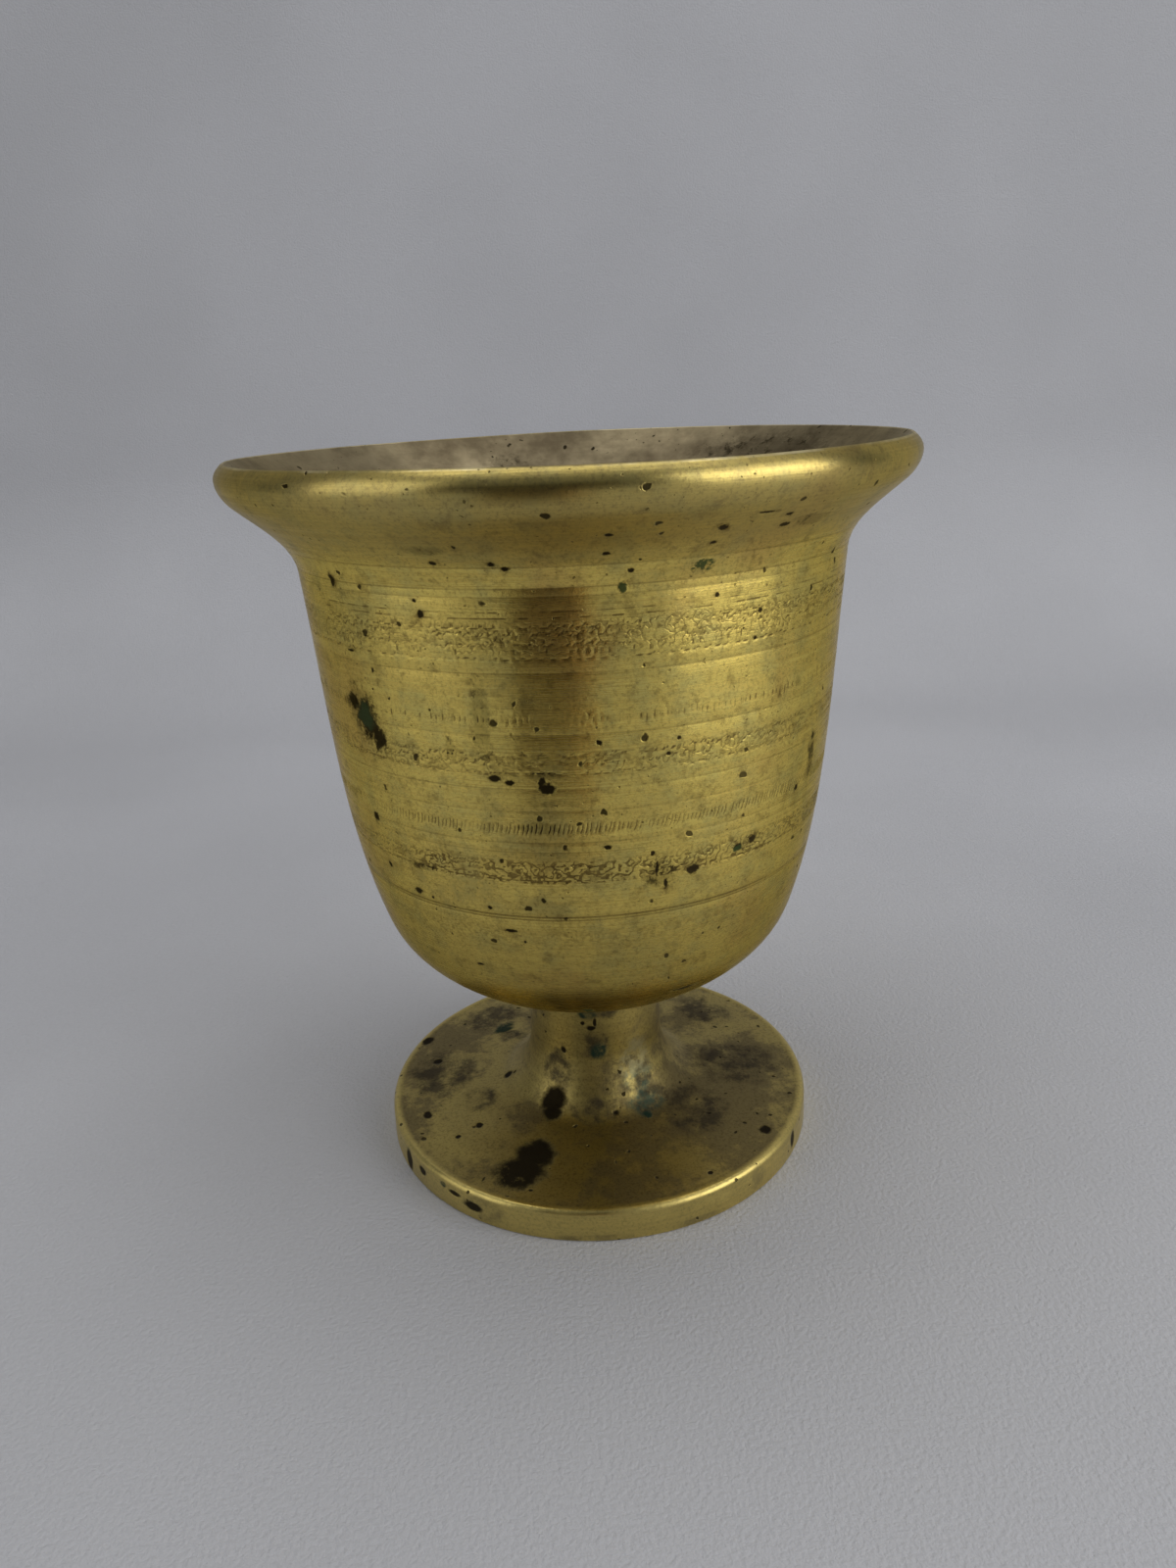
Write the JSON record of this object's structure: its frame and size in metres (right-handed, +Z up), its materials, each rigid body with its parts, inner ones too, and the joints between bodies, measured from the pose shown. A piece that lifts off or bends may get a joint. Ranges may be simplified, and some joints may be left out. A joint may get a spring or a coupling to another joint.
{
  "type": "footed brass cup",
  "caption": "Footed brass cup with a rounded bowl, a wide flared lip, engraved bands and a short stem on a disc foot.",
  "frame": {"origin": "centre of the foot at table level", "axes": "+Z up along the turning axis, from the foot to the mouth; X and Y are level and interchangeable"},
  "size_m": [0.0972, 0.0972, 0.1095],
  "materials": {
    "bowl_brass": "polished by handling, fine turning lines, engraved bands, dark pits",
    "foot_brass": "worn and tarnished, green and black spots",
    "solder": "dull grey-yellow solder",
    "rivet_brass": "hammered and tarnished",
    "washer_copper": "dull copper"
  },
  "bodies": {
    "root": {"cup_bowl": "bowl_brass", "pedestal_foot": "foot_brass", "solder_fillet": "solder", "tie_rivet": "rivet_brass", "sealing_washer": "washer_copper", "tail_rove": "rivet_brass"}
  },
  "joints": []
}
